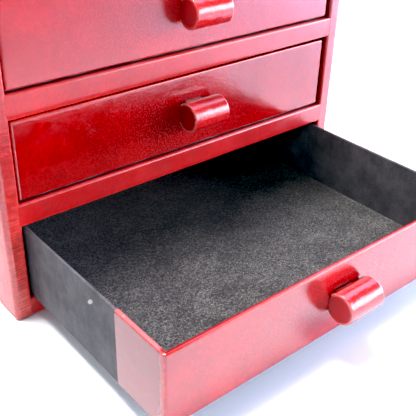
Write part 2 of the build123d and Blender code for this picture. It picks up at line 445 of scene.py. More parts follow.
def bay_card():
    """Matt black card with a little noise for its fibres."""
    material, place = new_finish("bay card", specular_ior_level=0.3)
    fibre = noise(place, 1.2 * mm, 3.0)
    shade = fibre.between(0.3, 0.7).mix(colour(0.012, 0.012, 0.013), colour(0.028, 0.027, 0.028))
    relief_normal = bump(place, fibre, fine_relief)
    return wire_up(material, base_color=shade, roughness=0.7 + 0.2 * fibre, normal=relief_normal)


def stained_wood(name, along):
    """Wood stained dark: noise drawn out along one axis gives streaks, and finer noise gives pores."""
    material, place = new_finish(name, specular_ior_level=0.35)
    stretch = tuple(0.06 if axis == along else 1.0 for axis in range(3))
    streak = noise(place, 5 * mm, 4.0, 0.6, stretch)
    pore = noise(place, 0.6 * mm, 2.0, 0.5, stretch)
    grain = (0.7 * streak + 0.3 * pore).between(0.3, 0.7)
    shade = grain.mix(colour(0.010, 0.007, 0.006), colour(0.026, 0.018, 0.014))
    relief_normal = bump(place, pore, fine_relief)
    return wire_up(material, base_color=shade, roughness=0.5 + 0.25 * pore, normal=relief_normal)


def plated_steel():
    """Zinc-plated screw, a little scuffed."""
    material, place = new_finish("plated steel", metallic=1.0)
    scuff = noise(place, 1.5 * mm, 4.0)
    shade = scuff.mix(colour(0.42, 0.41, 0.38), colour(0.66, 0.64, 0.60))
    return wire_up(material, base_color=shade, roughness=0.24 + 0.25 * scuff)


card = bay_card()
wood_across = stained_wood("stained wood along the width", 0)
wood_upright = stained_wood("stained wood along the height", 2)
steel = plated_steel()

# %% [markdown]
# ## Sheets from grids
# Leather and felt are sheets, so one recipe makes them all. A grid of points is the front of the sheet:
# one direction follows a path, the other a section. The back is the same grid moved in by the thickness,
# and a narrow wall closes every edge that was cut. A Solidify modifier could add the thickness too, but
# here the marks of front and back differ, so both are made together. A folded line gives the paths and
# sections: straight runs joined by arcs, each with its own number of cells, so that two lines with the
# same numbers match point for point.

# %% Folded lines and grids
def folded(points, radii, counts, arc_cells=6):
    """A line through points with square corners, each rounded by an arc; one radius, or one for each.

    A run is start + share * (end - start). An arc is its centre minus radius * (cos * after + sin * before),
    where before and after are the unit directions from the corner back and on. counts are the runs' cells.
    """
    points = np.array(points, float)
    start = points[0]
    line = []
    radii = np.broadcast_to(radii, len(counts) - 1)
    for number, (count, radius) in enumerate(zip(counts[:-1], radii), 1):
        before, after = points[number - 1] - points[number], points[number + 1] - points[number]
        before, after = before / np.linalg.norm(before), after / np.linalg.norm(after)
        enter = points[number] + radius * before
        turn = np.linspace(0, np.pi / 2, arc_cells, endpoint=False)[:, None]
        line.append(start + np.linspace(0, 1, count, endpoint=False)[:, None] * (enter - start))
        line.append(enter + radius * after - radius * (np.cos(turn) * after + np.sin(turn) * before))
        start = points[number] + radius * after
    line.append(start + np.linspace(0, 1, counts[-1] + 1)[:, None] * (points[-1] - start))
    return np.concatenate(line)


def carried_across(section, across):
    """A section of (y, z) carried straight along x, as a grid."""
    grid = np.empty((len(across), len(section), 3))
    grid[..., 0] = across[:, None]
    grid[..., 1:] = section
    return grid


tiny = 1e-15  # stands in for a normal's length where a grid has no area


def outward(grid):
    """Unit normals of a grid: the cross product of its first and its second direction."""
    across = np.cross(np.gradient(grid, axis=0), np.gradient(grid, axis=1))
    return across / np.maximum(np.linalg.norm(across, axis=2, keepdims=True), tiny)


def raised(grid, height):
    """A grid moved out along its normals by a height at each point."""
    return grid + height[..., None] * outward(grid)


def middles(grid):
    """The middle of each cell of a grid, as the mean of its four corners."""
    return (grid[:-1, :-1] + grid[1:, :-1] + grid[1:, 1:] + grid[:-1, 1:]) / 4


corner_line = folded([(0, 0), (10 * mm, 0), (10 * mm, 10 * mm)], fold, [4, 4])
line_length = np.linalg.norm(np.diff(corner_line, axis=0), axis=1).sum()
print("two runs of 10 mm, folded, are", np.round(line_length / mm, 2), "mm long")

# %% [markdown]
# ## Ramps, bells and ripples
# Nothing made by hand is quite even. A ramp fades something in over a length, a bell keeps it near a
# line, and a ripple makes a surface gently uneven. A Displace modifier with a noise texture could do the
# last, but sine waves on whole arrays are quick, and the same seed gives the same leather on every run.

# %% Helpers for what changes along a sheet
wave_count = 12


def ramp(value, start, end):
    """0 at the start, 1 at the end, straight between and held beyond; the end may be the lower one."""
    return np.clip((value - start) / (end - start), 0, 1)


def bell(distance, width):
    """A bell curve, 1 at no distance: the exponential of minus the square of distance over width."""
    return np.exp(-((distance / width) ** 2))


def ripple(points, size, seed):
    """Unevenness from about -1 to 1: twice the mean of some sine waves, about this long, in random ways."""
    random = np.random.default_rng(seed)
    ways = random.normal(size=(wave_count, 3))
    lengths = size * random.uniform(0.7, 1.6, wave_count)
    ways *= (2 * np.pi / (lengths * np.linalg.norm(ways, axis=1)))[:, None]
    return np.sin(points @ ways.T + random.uniform(0, 2 * np.pi, wave_count)).mean(axis=-1) * 2


def unevenness(points, *waves):
    """The sum of ripples, each given by its depth, its size and its seed."""
    return sum(depth * ripple(points, size, seed) for depth, size, seed in waves)


along_line = np.linspace(0, 100 * mm, 200)[:, None] * [1, 0, 0]
swing = ripple(along_line, 20 * mm, 1)
print("a ripple along 100 mm runs from", np.round(swing.min(), 2), "to", np.round(swing.max(), 2))


# %% Sheets with a front, a back and cut edges
def sheet(front, thickness, keep=None, back=None, flesh=1.0, **front_marks):
    """Points, faces and marks of a sheet whose front is a grid.

    The back is the front minus thickness times its normals, unless it is given. Cells where keep is False
    are left out. A wall joins front and back along each edge with a kept cell on one side only. The back has
    the painted shade of the front, flesh as its raw mark, and no other marks.
    """
    rows, columns = front.shape[:2]
    count = rows * columns
    number = np.arange(count).reshape(rows, columns)
    keep = np.ones((rows - 1, columns - 1), bool) if keep is None else keep
    back = front - thickness * outward(front) if back is None else back
    shown = np.stack([number[:-1, :-1], number[1:, :-1], number[1:, 1:], number[:-1, 1:]], axis=-1)[keep]

    def wall(first, second, chosen):
        """Faces that join front and back along the chosen edges, from a first to a second point each."""
        one, two = first[chosen], second[chosen]
        return np.stack([one, two, two + count, one + count], axis=-1)

    around = np.pad(keep, 1)
    low, high = around[:-1, 1:-1], around[1:, 1:-1]
    left, right = around[1:-1, :-1], around[1:-1, 1:]
    walls = [
        wall(number[:, :-1], number[:, 1:], high & ~low),
        wall(number[:, 1:], number[:, :-1], low & ~high),
        wall(number[1:], number[:-1], right & ~left),
        wall(number[:-1], number[1:], left & ~right),
    ]
    used, faces = np.unique(np.concatenate([shown, shown[:, ::-1] + count] + walls), return_inverse=True)
    points = np.concatenate([front.reshape(-1, 3), back.reshape(-1, 3)])[used]
    made = {"points": points, "faces": faces.reshape(-1, 4)}
    for mark in marks:
        on_front = np.broadcast_to(front_marks.get(mark, 0.0), (rows, columns)).ravel()
        on_back = {"raw": np.full(count, flesh), "grime": on_front}.get(mark, np.zeros(count))
        made[mark] = np.concatenate([on_front, on_back])[used]
    return made


corner_sheet = sheet(carried_across(corner_line, np.linspace(0, 20 * mm, 5)), leather)
print("a folded sheet has", len(corner_sheet["points"]), "points and", len(corner_sheet["faces"]), "faces")

# %% [markdown]
# ## From sheets to objects
# An object in Blender holds a mesh, and the mesh holds points, faces, marks and a finish. The points
# already have their place on the chest, so the object stays at the origin. Faces that meet at a low angle
# are shaded smooth, and cut edges stay sharp. Each piece rides on the body that carries it, so a pulled
# drawer takes its leather along, and it stands for the plain CAD solid of the same skin.

# %% Make a piece
sharp_angle = math.radians(35)


def make_piece(name, sheets, body, node, finish):
    """One object from one or more sheets. It rides on a body, and stands for a CAD node."""
    starts = np.cumsum([0] + [len(part["points"]) for part in sheets])
    points = np.concatenate([part["points"] for part in sheets])
    faces = np.concatenate([part["faces"] + start for part, start in zip(sheets, starts)])
    mesh = bpy.data.meshes.new(name)
    mesh.from_pydata(points.tolist(), [], faces.tolist())
    for mark in marks:
        values = np.concatenate([part[mark] for part in sheets]).astype(np.float32)
        mesh.attributes.new(mark, "FLOAT", "POINT").data.foreach_set("value", values)
    mesh.shade_smooth()
    mesh.set_sharp_from_angle(angle=sharp_angle)
    mesh.materials.append(finish)
    made = bpy.data.objects.new(name, mesh)
    bpy.context.scene.collection.objects.link(made)
    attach(made, body)
    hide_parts(node)
    print(name, "has", len(points), "points and", len(faces), "faces")
    return made


print("edges stay sharp above", round(math.degrees(sharp_angle)), "degrees")

# %% [markdown]
# ## The covers of the drawer fronts
# One strip of leather covers a drawer's front. It runs back along both sides as two arms, turns over the
# rim into the drawer, and is folded under the foot of the front. Its section is a folded line: under the
# foot, up the face, over the rim, down inside. A box with bevelled edges would come close, but the real
# strip goes round the corners in one piece. So the section is carried round a U-shaped path, and the
# share q says how far a point lies from the outer path to the inner one. At the two front corners the rim
# is mitred, which leaves a shallow seam. The right arm was cut a little shorter than the left one.

# %% Shape of the drawer covers
hair = 1e-6  # a difference too small to see
turn_in_depth = 6 * mm
rim_fold = 1.1 * mm
inner_fold = 0.3 * rim_fold
corner_fold = 1.6 * mm
right_short = 3 * mm
mitre_depth = 0.1 * mm


def at_corner(outer_y, front_y):
    """How close the outer path is to the middle of a front corner: half a sine wave over its depth."""
    return np.sin(np.pi * ramp(outer_y, front_y, front_y + corner_fold))[:, None]


def cover_shape(drawer, seed):
    """Section (q, z) carried round the U: a point is outer(s) + q * (inner(s) - outer(s)), at the height z.

    Gives the grid, which cells are kept, q and z of the section, and y of the outer path.
    """
    low, high = box(f"{drawer}_drawer_front_leather")
    wall = box(f"{drawer}_drawer_left_wall")[1][0] + drawer_leather - low[0]
    depth = box(f"{drawer}_drawer_front_board")[1][1] + drawer_leather - low[1]
    plan = [(low[0], high[1]), (low[0], low[1]), (high[0], low[1]), (high[0], high[1] - right_short)]
    inset = np.array([(wall, 0), (wall, depth), (-wall, depth), (-wall, 0)])
    counts = [26, 150, 26]
    outer = folded(plan, corner_fold, counts, 8)
    inner = folded(plan + inset, inner_fold, counts, 8)
    turn_in = high[2] - drawer_leather - turn_in_depth
    under = wall - drawer_leather
    corners = [(under, low[2]), (0, low[2]), (0, high[2]), (wall, high[2]), (wall, turn_in)]
    section = folded(corners, rim_fold, [4, 36, 2, 6])
    q, z = section[:, 0] / wall, section[:, 1]
    at_front = ramp(outer[:, 1], low[1] + corner_fold, low[1])[:, None]
    share = np.where(z < low[2] + rim_fold, q * at_front, q)
    grid = np.empty(share.shape + (3,))
    grid[..., :2] = outer[:, None] + share[..., None] * (inner - outer)[:, None]
    grid[..., 2] = z
    uneven = unevenness(grid, (0.05 * mm, 26 * mm, seed), (0.02 * mm, 7 * mm, seed + 1))
    mitre = mitre_depth * at_corner(outer[:, 1], low[1]) ** 6 * ramp(z, high[2] - rim_fold, high[2])
    under_foot = z[1:] < low[2] + hair
    keep = ~under_foot | (np.minimum(at_front[:-1], at_front[1:]) > 1 - hair)
    return raised(grid, uneven - mitre), keep, q, z, outer[:, 1]


print("the rim turns in by", np.round(turn_in_depth / mm, 1), "mm")

# %% [markdown]
# ### Wear, painted highlights and painted shade on the drawer fronts
# The marks tell how the cover was worked and used, and where light and shade are painted. A pale line of
# cut edge shows here and there along the foot, and the foot below it is painted dark as shade. The folds
# and the corners are paler, partly rubbed and partly a painted highlight. The arms are painted darker as
# shade, with a painted highlight along their rim, and the mitred seams are painted dark as shade. Around
# the pull, fingers have brought out the grain, and its pale peaks are painted sparkle. Painting such marks
# by hand would be lost with every change of shape; worked out from the place of each point, they follow it.

# %% Drawer covers
cut_edge_height, cut_edge_width = 0.3 * mm, 0.22 * mm
dark_foot, foot_fade = 0.6 * mm, 0.3 * mm
arm_fade = 3 * mm
handled_reach = np.array([56, 200, 30]) * mm


def drawer_cover(drawer, finish, seed):
    """The cover of one drawer with its marks: ramps and bells of height, depth and the way from the pull."""
    node = f"{drawer}_drawer_front_leather"
    low, high = box(node)
    grid, keep, q, z, outer_y = cover_shape(drawer, seed)
    outside = q < 0.5
    corner = at_corner(outer_y, low[1])
    arm_start = low[1] + corner_fold
    on_arm = ramp(outer_y, arm_start, arm_start + arm_fade)[:, None]
    on_rim = ramp(z, high[2] - rim_fold, high[2])
    bend = np.where(z > low[2] + rim_fold, 1 - np.abs(2 * on_rim - 1), 0.0)
    # Folds and corners are paler: partly rubbed, partly a painted highlight.
    worn = np.clip(np.maximum(bend * outside, 0.9 * corner), 0, 1)
    cut_edge = bell(z - low[2] - cut_edge_height, cut_edge_width) * outside
    bared = cut_edge * np.clip(0.5 + 0.6 * ripple(grid, 14 * mm, seed + 40), 0, 1)
    # The foot under the cut edge is painted dark as shade, in the gap under the front.
    at_foot = ramp(z, low[2] + dark_foot, low[2] + dark_foot - foot_fade) * (1 - 0.7 * bared)
    # The arms are painted darker as shade, and the mitred seam at the rim is painted dark as shade.
    shaded_arm = 0.4 * on_arm * outside * (1 - on_rim)
    seam = 0.65 * corner**2 * on_rim
    grime = np.maximum(np.maximum(at_foot, shaded_arm), seam)
    # Along the rim of the arms a little pale flesh colour is a painted highlight.
    raw = np.maximum(bared, 0.34 * on_arm * on_rim)
    pull = np.mean(box(f"{drawer}_drawer_pull_leather"), axis=0)
    # Around the pull the grain and its painted sparkle are stronger.
    handled = np.exp(-(((grid - pull) / handled_reach) ** 2).sum(axis=-1))
    cover = sheet(grid, drawer_leather, keep, raw=raw, worn=worn, grime=grime, handled=handled)
    return make_piece(f"{drawer}_drawer_cover", [cover], f"{drawer}_drawer", node, finish)


for number, drawer in enumerate(drawers):
    drawer_cover(drawer, light_leather if drawer == "top" else cover_leather, 10 + 2 * number)

# %% [markdown]
# ## The covers of the sides
# Each side is covered by one piece of leather that runs from the back along the side, round the front
# edge, and into the three drawer openings. It is slit at the ends of the horizontal boards, so the
# turned-in flaps stop there. The path is the plan of that fold, and the section is only its height,
# rounded in at the foot. The outer front edge is rounder than the other folds. On the narrow front edge
# the leather was pressed hard round the board and has gathered in fine level creases, deepest low down,
# which run on a little way round the side. They change the outline, so they are real grooves in a fine
# grid and not only a bump in the finish.
# The ridges of the creases are painted paler as highlights and their grooves darker as shade, the low part
# of the front edge is painted paler as light, and the flaps in the gaps are painted dark as shade.

# %% Creases, gaps and slits
crease_width = 0.36 * mm
crease_range = 200 * mm
gap_start, gap_end = 0.1 * mm, 0.9 * mm
shelves = [box(f"{name}_board") for name in ("base", "lower_shelf", "upper_shelf", "top")]
slits = [(low[2], high[2]) for low, high in shelves]
slits[0] = (-np.inf, slits[0][1])
slits[-1] = (slits[-1][0], np.inf)
print("slits between", np.round(np.array(slits) / mm, 1).tolist(), "mm")


def in_gap(y):
    """How far a point of the case lies behind the faces of the closed drawers, as a share from 0 to 1."""
    face = box("middle_drawer_front_leather")[0][1]
    return ramp(y, face + gap_start, face + gap_end)


def creases(across, height, spacing, seed):
    """Fine grooves, 0 to about 1: the sum of bell curves around levels that drift a little across."""
    random = np.random.default_rng(seed)
    levels = np.cumsum(random.uniform(0.6, 1.4, int(crease_range / spacing)) * spacing)
    drift = random.normal(0, 0.05, levels.size)
    depth = random.uniform(0.35, 1.0, levels.size)
    return (depth * bell(height[..., None] - levels - drift * across[..., None], crease_width)).sum(axis=-1)


# %% Path and cells of a side cover
front_edge = 3.0 * mm
foot_fold = 0.8 * fold


def side_path(low, high, wide, narrow):
    """The left cover in plan, and its normals: behind the back edge, along the side, round the front, in."""
    turn_in_end = box("base_rail_leather")[1][1]
    behind = [(-narrow - leather, high[1]), (-wide, high[1])]
    in_front = [(-wide, low[1]), (-narrow, low[1]), (-narrow, turn_in_end)]
    path = folded(behind + in_front, [fold, front_edge, fold], [3, 24, 14, 5], 9)
    along = np.gradient(path, axis=0)
    along /= np.linalg.norm(along, axis=1, keepdims=True)
    return path, np.stack([along[:, 1], -along[:, 0]], axis=1)


def kept_cells(grid, path, normal, z, low, high, narrow):
    """All cells but those under the foot at front and back, and those of flaps at the ends of the boards."""
    beside = np.isclose(normal[:, 0], -1)
    beside &= (path[:, 1] < high[1] - fold) & (path[:, 1] > low[1] + front_edge)
    under_foot = z[1:] < low[2] + hair
    keep = ~under_foot | (beside[:-1] & beside[1:])[:, None]
    x, y, height = np.moveaxis(middles(grid), -1, 0)
    turned = (y > low[1] + leather) & (x > -narrow - fold)
    for bottom, top in slits:
        keep &= ~(turned & (height > bottom) & (height < top))
    return keep


print("the front edge is rounded by", np.round(front_edge / mm, 1), "mm")

# %% Side covers
crease_spacing, crease_depth = 1.4 * mm, 0.07 * mm
crease_full, crease_faint = 45 * mm, 95 * mm
crease_reach = 45 * mm


def side_cover(side, seed):
    """Plan path (x, y) moved in by q along its normals, at the height z; the right side is mirrored."""
    name = {-1: "left", 1: "right"}[side]
    node = f"{name}_side_leather"
    low, high = box(node)
    wide, narrow = np.max(np.abs([low[0], high[0]])), np.min(np.abs([low[0], high[0]]))
    path, normal = side_path(low, high, wide, narrow)
    board = wide - narrow - leather
    section = folded([(board, low[2]), (0, low[2]), (0, high[2])], foot_fold, [5, 650], 4)
    q, z = section.T
    grid = np.empty((len(path), len(section), 3))
    grid[..., :2] = path[:, None] - q[:, None] * normal[:, None]
    grid[..., 2] = z

    facing_front = np.clip(-normal[:, 1], 0, 1) * (path[:, 0] > -wide + 0.5 * front_edge)
    near_front = ramp(path[:, 1], low[1] + crease_reach, low[1]) * np.clip(-normal[:, 0], 0, 1)
    creased = np.maximum(facing_front, 0.7 * near_front)[:, None] * (q < hair)
    low_down = ramp(z, crease_faint, crease_full)
    to_opening = ramp(path[:, 0], -wide, -narrow)
    fading = np.clip(3.2 * (1 - to_opening), 0, 1)[:, None]
    grooves = creases(grid[..., 0] + wide, grid[..., 2], crease_spacing, seed)
    gathered = creased * (0.6 + 0.4 * low_down) * fading * grooves
    uneven = unevenness(grid, (0.06 * mm, 30 * mm, seed + 1), (0.02 * mm, 6 * mm, seed + 2))
    grid = raised(grid, uneven - crease_depth * gathered)

    keep = kept_cells(grid, path, normal, z, low, high, narrow)
    # Paler along the front fold and on the crease ridges, most low down: partly rubbed, mostly painted
    # highlight and painted light. Grooves and the flaps behind the drawer fronts get painted shade.
    bend = np.sin(np.pi * np.clip(np.abs(normal[:, 0] * normal[:, 1]) * 2, 0, 1) / 2)
    ridges = np.clip(1 - 1.2 * gathered, 0, 1)
    worn = np.maximum(0.6 * bend[:, None], creased * (0.5 + 1.1 * low_down) * ridges)
    flap = path[:, 0] > -narrow - 0.5 * fold
    grime = np.maximum((flap * in_gap(path[:, 1]))[:, None], 0.08 * np.clip(gathered, 0, 1))
    if side > 0:
        grid = grid[::-1] * np.array([-1, 1, 1])
        keep, worn, grime = keep[::-1], worn[::-1], grime[::-1]
    cover = sheet(grid, leather, keep, worn=worn, grime=grime)
    return make_piece(f"{name}_side_cover", [cover], "case", node, side_leather)


side_cover(-1, 31)
side_cover(1, 37)

# %% [markdown]
# ## The strips on the rails
# A strip of leather is glued round the front edge of each horizontal board and turned in above and below
# it. Its ends are tucked under the leather of the sides. It is an extrusion: a folded section carried
# straight across. A Bevel modifier on a bar would give the same folds, but not the lip: above a drawer
# the lower edge has come loose and hangs down a little, more at the left than at the right. The strip on
# the top board stops under the cover of the top. All were drawn tight as they were glued, so they are
# marked as drawn and show slanting lines.

# %% Rail strips
tuck = 0.9 * mm
lip_left, lip_right = 2.2 * mm, 1.0 * mm
lip_height, lip_depth = 2.6 * mm, 6 * mm


def rail_strip(name, seed):
    """Folded section (y, z) carried along x; the lip lowers it near its lower front edge."""
    node = f"{name}_rail_leather"
    low, high = box(node)
    corners = [(high[1], low[2]), (low[1], low[2]), (low[1], high[2]), (high[1], high[2])]
    counts = [10, 18, 10]
    if name == "top":
        corners, counts = corners[:3], counts[:2]
    section = folded(corners, fold, counts)
    y, z = section.T
    across = np.linspace(low[0] - tuck, high[0] + tuck, 190)
    grid = carried_across(section, across)
    if name != "base":
        hang = np.linspace(lip_left, lip_right, len(across))[:, None]
        near_edge = ramp(z, low[2] + lip_height, low[2]) ** 2
        grid[..., 2] -= hang * near_edge * ramp(y, low[1] + lip_depth, low[1])
    grid = raised(grid, unevenness(grid, (0.05 * mm, 22 * mm, seed), (0.03 * mm, 5 * mm, seed + 1)))
    # Edges are paler, partly rubbed and partly a painted highlight; the turn-in behind the drawer fronts is
    # painted dark as shade.
    edge = np.minimum(z - low[2], high[2] - z) / fold
    bend = np.clip(1 - np.abs(2 * edge - 0.6), 0, 1) * (y < low[1] + fold)
    strip = sheet(grid, leather, worn=bend, grime=in_gap(y), drawn=1.0)
    return make_piece(f"{name}_rail_strip", [strip], "case", node, rail_leather)


for number, name in enumerate(("base", "lower", "upper", "top")):
    rail_strip(name, 50 + 2 * number)

# %% [markdown]
# ## The covers of the top and the back
# The top is one piece with its four edges rolled down as a narrow lip. A square grid covers it: past the
# flat part, a step a along x and b along y are rolled off over the edge. In a corner both are at work, so
# the larger one says how far down the roll a point is, and their ratio says which way it faces. That
# keeps the cells even, with no pole in the corner. The cover of the back is a plain extrusion, folded
# under at its foot.

# %% Round and square
def turned_square(a, b):
    """Radius and angle on a disc of a point of a square.

    The radius is the larger of a and b, signed. Their ratio turns the angle by up to an eighth of a turn.
    """
    first = np.abs(a) >= np.abs(b)
    radius = np.where(first, a, b)
    ratio = np.where(first, b, a) / np.where(radius == 0, 1, radius)
    return radius, np.where(first, ratio, 2 - ratio) * np.pi / 4


corner_radius, corner_angle = turned_square(1.0, 1.0)
print("the square's corner is at", np.degrees(corner_angle), "degrees, radius", corner_radius)


# %% Top and back covers
def top_cover(seed):
    """A flat middle and a roll: a step r past it goes out by fold * sin(r / fold), then down as a lip."""
    low, high = box("top_leather")
    flat = np.array(high[:2]) - fold
    quarter = fold * np.pi / 2
    lip = quarter + high[2] - low[2] - fold
    steps = np.concatenate([np.linspace(0, quarter, 8), [lip]])
    stations = [
        np.concatenate([-half - steps[:0:-1], np.linspace(-half, half, count), half + steps[1:]])
        for half, count in zip(flat, (100, 84))
    ]
    x, y = np.meshgrid(*stations, indexing="ij")
    a, b = np.maximum(np.abs(x) - flat[0], 0), np.maximum(np.abs(y) - flat[1], 0)
    step, angle = turned_square(a, b)
    roll = np.minimum(step, quarter) / fold
    out = fold * np.sin(roll) * (step > 0)
    grid = np.stack([
        np.clip(x, -flat[0], flat[0]) + np.sign(x) * out * np.cos(angle),
        np.clip(y, -flat[1], flat[1]) + np.sign(y) * out * np.sin(angle),
        high[2] - fold * (1 - np.cos(roll)) - np.maximum(step - quarter, 0),
    ], axis=-1)
    grid = raised(grid, unevenness(grid, (0.06 * mm, 34 * mm, seed), (0.02 * mm, 7 * mm, seed + 1)))
    # Paler along the rolled edge: partly rubbed, partly a painted highlight.
    cover = sheet(grid, leather, worn=np.sin(2 * roll))
    return make_piece("top_cover", [cover], "case", "top_leather", top_leather)


def back_cover(seed):
    """Folded section (y, z), under the foot and up the back, carried across from right to left."""
    low, high = box("back_leather")
    section = folded([(low[1], low[2]), (high[1], low[2]), (high[1], high[2])], fold, [4, 90])
    grid = carried_across(section, np.linspace(high[0], low[0], 110))
    grid = raised(grid, unevenness(grid, (0.07 * mm, 32 * mm, seed), (0.02 * mm, 7 * mm, seed + 1)))
    cover = sheet(grid, leather)
    return make_piece("back_cover", [cover], "case", "back_leather", cover_leather)


top_cover(61)
back_cover(67)

# %% [markdown]
# ## The pulls
# A pull is a short wooden bar, wrapped in a strip of thicker leather, with a leather disc set into each
# end. The wrap is a grid of angle by length. A cylinder would do from afar, but its ends were trimmed by
# hand: they are rounded over, rolled in and not quite straight, and they show the leather's pale middle.
# Along the back of the bar the strip's cut edges stay a little short of the drawer's front. Above, this
# edge has come loose and curls up, most of all on the middle pull.

# %% Wraps of the pulls
gap_above, gap_below = 0.75 * mm, 0.15 * mm
end_stations = np.array([0, 0.05, 0.14, 0.28, 0.46]) * mm
end_zone = 0.7 * mm
round_over = 0.5 * mm
fray_depth, fray_reach = 0.12 * mm, 0.8 * mm
rolled_depth, rolled_reach = 0.6 * mm, 0.4 * mm
curl_reach, bared_reach = 1.1 * mm, 0.9 * mm
cut_reach, worn_reach = 0.3 * mm, 0.7 * mm


def pull_wrap(drawer, cut, curl, seed):
    """Radius times sine and cosine of the angle, from the back below, round the front, to the back above.

    Near an end the radius drops as a quarter circle. cut says how much of the pale middle the trimmed ends
    show, curl how far the loose edge above lifts off.
    """
    node = f"{drawer}_drawer_pull_leather"
    low, high = box(node)
    radius = (high[2] - low[2]) / 2
    axis_y, axis_z = low[1] + radius, (low[2] + high[2]) / 2
    thick = box(f"{drawer}_drawer_pull_core")[0][1] - low[1]
    above, below = np.arcsin((high[1] - axis_y - np.array([gap_above, gap_below])) / radius)
    angle = np.linspace(np.pi + below, -above, 96)
    length = high[0] - low[0]
    between = np.linspace(end_zone, length - end_zone, 64)
    place = np.concatenate([end_stations, between, length - end_stations[::-1]])
    inward = np.minimum(place, length - place)
    drop = round_over - np.sqrt(round_over**2 - np.maximum(round_over - inward, 0) ** 2)
    ring = np.stack([np.zeros_like(angle), -np.sin(angle), np.cos(angle)], axis=1)
    axis = np.array([low[0], axis_y, axis_z]) + place[:, None, None] * [1, 0, 0]
    rolled_in = rolled_depth * bell(inward, rolled_reach)
    front = axis + (radius - drop)[:, None, None] * ring
    back = axis + (radius - thick - rolled_in)[:, None, None] * ring

    rough = unevenness(ring * radius, (fray_depth, 3.5 * mm, seed), (fray_depth, 1.3 * mm, seed + 2))
    frayed = rough * np.exp(-inward / fray_reach)[:, None]
    front[..., 0] += frayed
    back[..., 0] += frayed
    uneven = unevenness(front, (0.05 * mm, 6 * mm, seed + 1), (0.03 * mm, 2.6 * mm, seed + 3))
    from_edge = (angle - angle[-1]) * radius
    loose = np.minimum(ramp(place / length, 0.1, 0.2), ramp(place / length, 0.7, 0.6))[:, None]
    lifted = curl * bell(from_edge, curl_reach) * loose
    front += (uneven + lifted)[..., None] * ring
    back += lifted[..., None] * ring
    raw = np.maximum(bell(from_edge, bared_reach) * loose, cut * bell(inward, cut_reach)[:, None])
    # Paler at the frayed ends: partly rubbed, partly a painted highlight.
    worn = bell(inward, worn_reach)[:, None]
    wrap = sheet(front, thick, back=back, raw=raw, flesh=0.2, worn=worn, handled=0.7)
    return make_piece(f"{drawer}_pull_wrap", [wrap], f"{drawer}_drawer", node, pull_leather)


pull_wrap("top", 0.3, 0.2 * mm, 71)
pull_wrap("middle", 0.38, 1.3 * mm, 75)
pull_wrap("bottom", 0.4, 0.2 * mm, 79)

# %% [markdown]
# ### The discs in their ends
# A disc of duller leather closes each end of a pull, cut straight where it meets the drawer's front. A
# circle filled with a fan of triangles would have a pole in its middle, so a square grid is turned into a
# disc instead. The discs are low domes with an eased rim. They were pressed in by hand, so some stand out
# of the wrap and some lie in it.

# %% Discs in the ends of the pulls
rim_start, rim_drop = 0.85, 0.25 * mm


def end_discs(drawer, set_in, crown):
    """A square grid turned into a disc, cut straight at the drawer's front, with a low dome of height crown.

    set_in moves both discs in from where the CAD has them, or out where it is below 0.
    """
    node = f"{drawer}_drawer_pull_end_discs"
    low, high = box(node)
    thick = box(f"{drawer}_drawer_pull_core")[0][0] - low[0]
    radius = (high[2] - low[2]) / 2
    axis_y, axis_z = low[1] + radius, (low[2] + high[2]) / 2
    side = np.linspace(-1, 1, 33)
    share, angle = turned_square(*np.meshgrid(side, side, indexing="ij"))
    backward_part, upward_part = np.cos(angle) * share, np.sin(angle) * share
    facing_back = np.maximum(backward_part / np.maximum(np.abs(share), hair), hair)
    reach = np.minimum(radius, (high[1] - axis_y) / facing_back)
    crowned = crown * (1 - share**2) - rim_drop * ramp(np.abs(share), rim_start, 1)
    discs = []
    for x, way in ((low[0], -1), (high[0], 1)):
        face = x + way * (crowned - set_in)
        grid = np.stack([face, axis_y + reach * backward_part, axis_z + reach * upward_part], axis=-1)
        back = grid.copy()
        back[..., 0] = x - way * (thick + set_in)
        if way < 0:
            grid, back = grid.transpose(1, 0, 2), back.transpose(1, 0, 2)
        discs.append(sheet(grid, thick, back=back))
    return make_piece(f"{drawer}_pull_discs", discs, f"{drawer}_drawer", node, disc_leather)


end_discs("top", -0.2 * mm, 0.5 * mm)
end_discs("middle", 0.35 * mm, 0.15 * mm)
end_discs("bottom", -0.35 * mm, 0.1 * mm)

# %% [markdown]
# ## The felts
# Felt is a loose mat of fibres, so its face is never flat: it has soft lumps, and its cut edges sag. Each
# felt is a closed sheet that lies on its board. A plain box would be closed too, but its sharp edges
# would look like card. The sheet under the base is the foot that the chest stands on, so it faces down,
# onto the table.

# %% Felt sheets
lump_room = 0.1 * mm
sag_depth, sag_reach = 0.35 * mm, 1.2 * mm
felt_cells = (150, 128)


def felt_sheet(name, body, node, faces_up, seed):
    """A flat grid lifted by two ripples, and lowered by a bell curve along its cut edges."""
    low, high = box(node)
    x, y = (np.linspace(low[axis], high[axis], felt_cells[axis]) for axis in (0, 1))
    grid = np.stack(np.meshgrid(x, y, indexing="ij") + [np.zeros(felt_cells)], axis=-1)
    edge = np.minimum(grid - low, high - grid)[..., :2].min(axis=-1)
    lumps = unevenness(grid, (0.10 * mm, 17 * mm, seed), (0.06 * mm, 5 * mm, seed + 1))
    sag = sag_depth * bell(edge, sag_reach)
    back = grid.copy()
    if faces_up:
        grid[..., 2], back[..., 2] = high[2] - lump_room + lumps - sag, low[2]
    else:
        grid[..., 2], back[..., 2] = low[2] + 0.25 * np.abs(lumps) + sag, high[2]
        grid, back = grid.transpose(1, 0, 2), back.transpose(1, 0, 2)
    made = make_piece(name, [sheet(grid, 0, back=back)], body, node, felt)
    return made


for number, drawer in enumerate(drawers):
    body = f"{drawer}_drawer"
    felt_node, board = f"{body}_floor_felt", f"{body}_floor_board"
    felt_sheet(f"{body}_felt_sheet", body, felt_node, True, 90 + 2 * number)
felt_sheet("base_felt_sheet", "case", "base_felt", False, 97)

